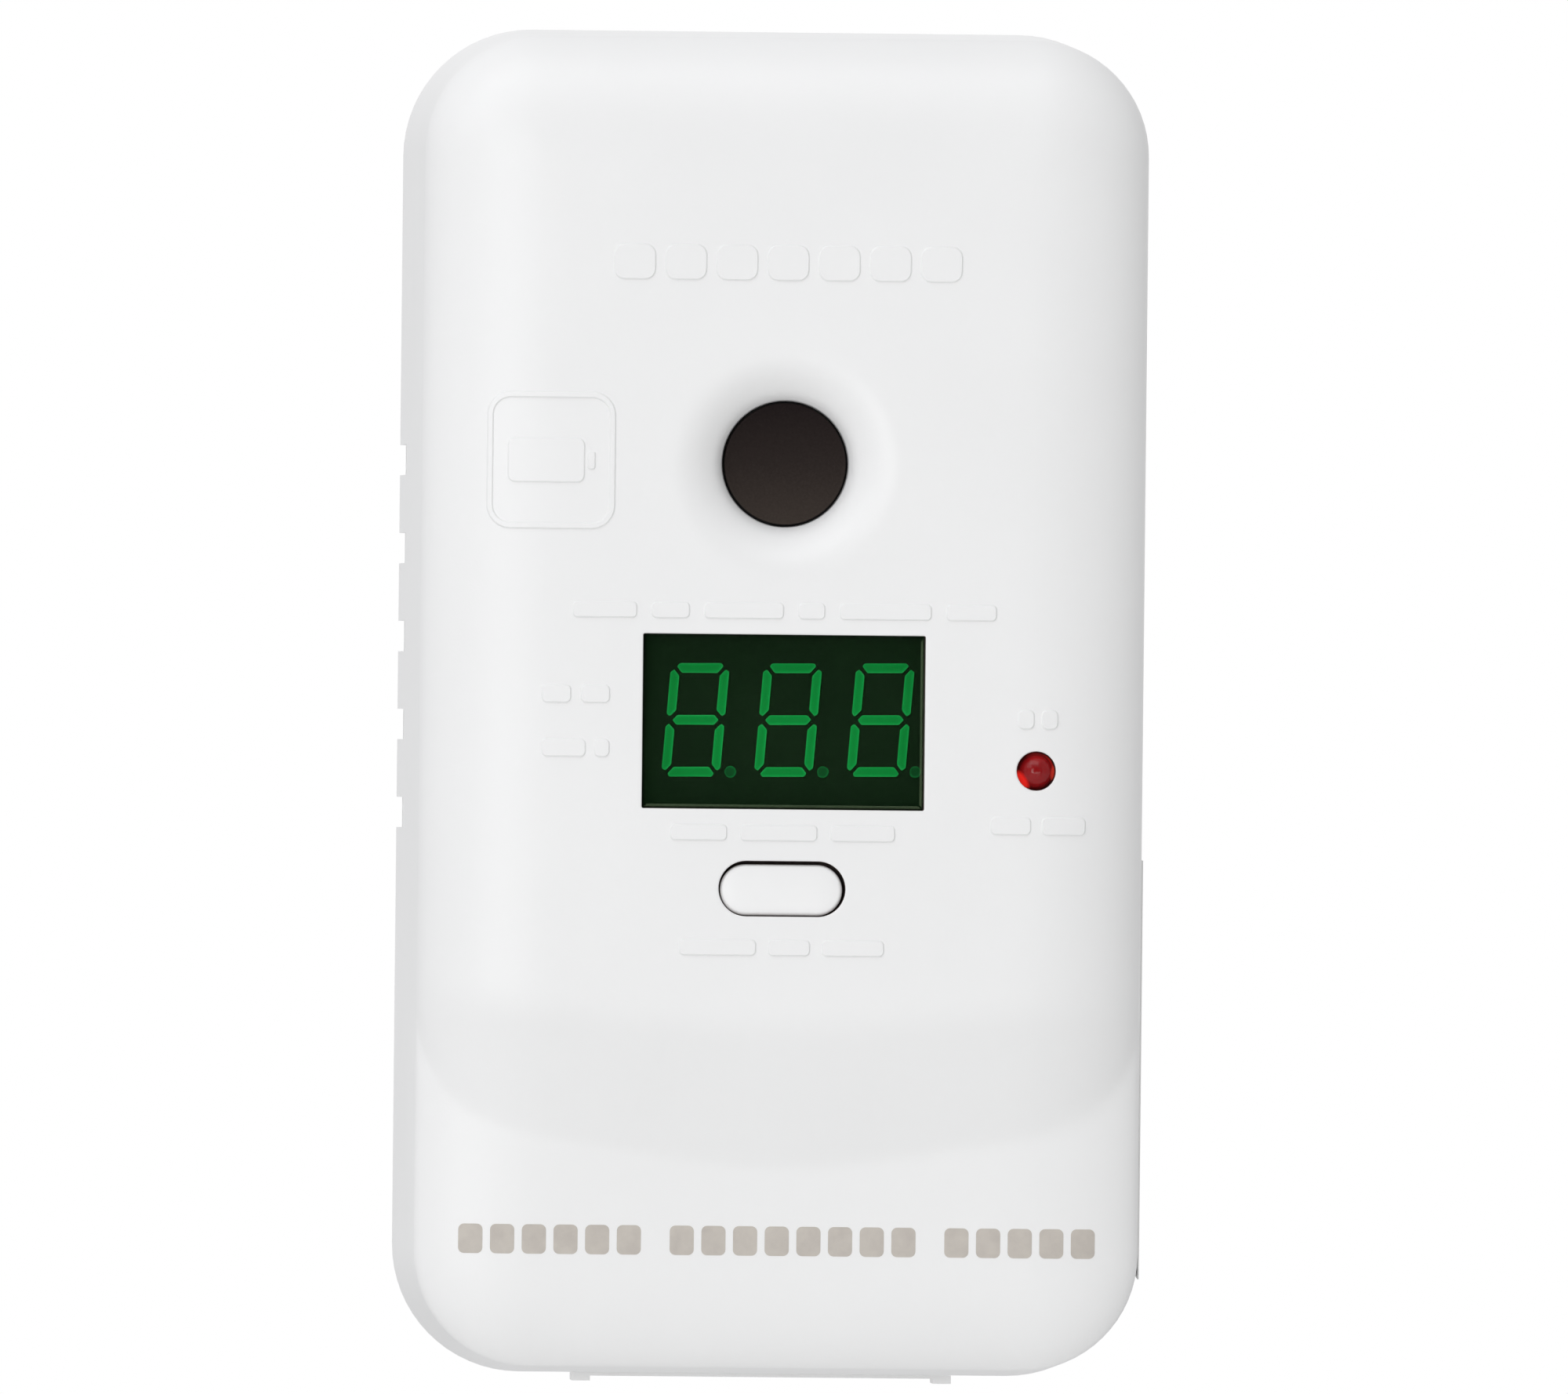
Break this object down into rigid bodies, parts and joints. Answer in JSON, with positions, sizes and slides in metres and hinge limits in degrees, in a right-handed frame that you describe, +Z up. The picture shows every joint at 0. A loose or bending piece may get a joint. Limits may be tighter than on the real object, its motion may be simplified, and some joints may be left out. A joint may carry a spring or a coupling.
{
  "type": "carbon monoxide detector",
  "caption": "Slim upright wall-mounted carbon monoxide detector: rolled-edge case with sounder opening, digital display, test button, status light, side vents and slide-on wall bracket.",
  "frame": {"origin": "midpoint between the two wall-screw holes of the bracket, on the wall plane", "axes": "+X to the right seen from the front, +Z up, front faces -Y, wall plane at y = 0"},
  "size_m": [0.06, 0.0362, 0.1091],
  "materials": {
    "shell_white": "satin moulded",
    "button_white": "satin moulded",
    "filter_green": "polished tinted acrylic",
    "display_black": "smooth",
    "segment_green": "diffusing",
    "led_red": "polished tinted epoxy",
    "spacer_white": "matte",
    "horn_black": "matte",
    "felt_black": "fine felt",
    "foam_black": "closed-cell foam",
    "piezo_brass": "satin",
    "piezo_ceramic": "matte",
    "tin": "tinned",
    "board_green": "solder-resist gloss",
    "chip_black": "matte epoxy",
    "chip_tan": "matte",
    "coil_black": "matte",
    "sleeve_blue": "shrink sleeve",
    "can_steel": "drawn can",
    "cap_grey": "matte",
    "cell_green": "printed sleeve on a drawn can",
    "slider_red": "moulded",
    "plunger_red": "moulded",
    "screw_steel": "zinc plated",
    "label_white": "semi-gloss",
    "label_silver": "satin"
  },
  "bodies": {
    "bracket": {"mounting_bracket": "shell_white"},
    "alarm": {"rear_cover": "shell_white", "front_cover": "shell_white", "display_filter": "filter_green", "display_housing": "display_black", "display_segments": "segment_green", "display_pins": "tin", "tact_switch_body": "chip_black", "status_led": "led_red", "led_leads": "tin", "led_spacer": "spacer_white", "horn_housing": "horn_black", "horn_dust_cap": "felt_black", "horn_gasket": "foam_black", "piezo_plate": "piezo_brass", "piezo_ceramic": "piezo_ceramic", "horn_contacts": "tin", "main_board": "board_green", "microcontroller": "chip_black", "amplifier_chip": "chip_black", "clock_crystal": "can_steel", "chip_resistors": "chip_black", "chip_capacitors": "chip_tan", "horn_inductor": "coil_black", "electrolytic_capacitor": "sleeve_blue", "sensor_can": "can_steel", "sensor_inlet_cap": "cap_grey", "sensor_pins": "tin", "lithium_cell": "cell_green", "cell_tabs": "tin", "cell_pad": "foam_black", "slide_switch_body": "can_steel", "cover_screws": "screw_steel", "board_screws": "screw_steel", "side_label": "label_white", "rear_label": "label_silver"},
    "test_button": {"test_button": "button_white"},
    "switch_plunger": {"tact_switch_plunger": "plunger_red"},
    "activation_slider": {"activation_slider": "slider_red", "slide_switch_knob": "chip_black"}
  },
  "joints": [
    {"name": "alarm_slide", "type": "slide", "parent": "bracket", "child": "alarm", "axis": [0, 0, 1], "range_m": [0, 0.004]},
    {"name": "button_press", "type": "slide", "parent": "alarm", "child": "test_button", "axis": [0, 1, 0], "range_m": [0, 0.0005], "stiffness_N_per_m": 2500},
    {"name": "plunger_press", "type": "slide", "parent": "alarm", "child": "switch_plunger", "axis": [0, 1, 0], "range_m": [0, 0.0005]},
    {"name": "power_slide", "type": "slide", "parent": "alarm", "child": "activation_slider", "axis": [1, 0, 0], "range_m": [0, 0.004]}
  ],
  "couplings": [
    {"joint": "plunger_press", "follows": "button_press", "ratio": 1}
  ]
}
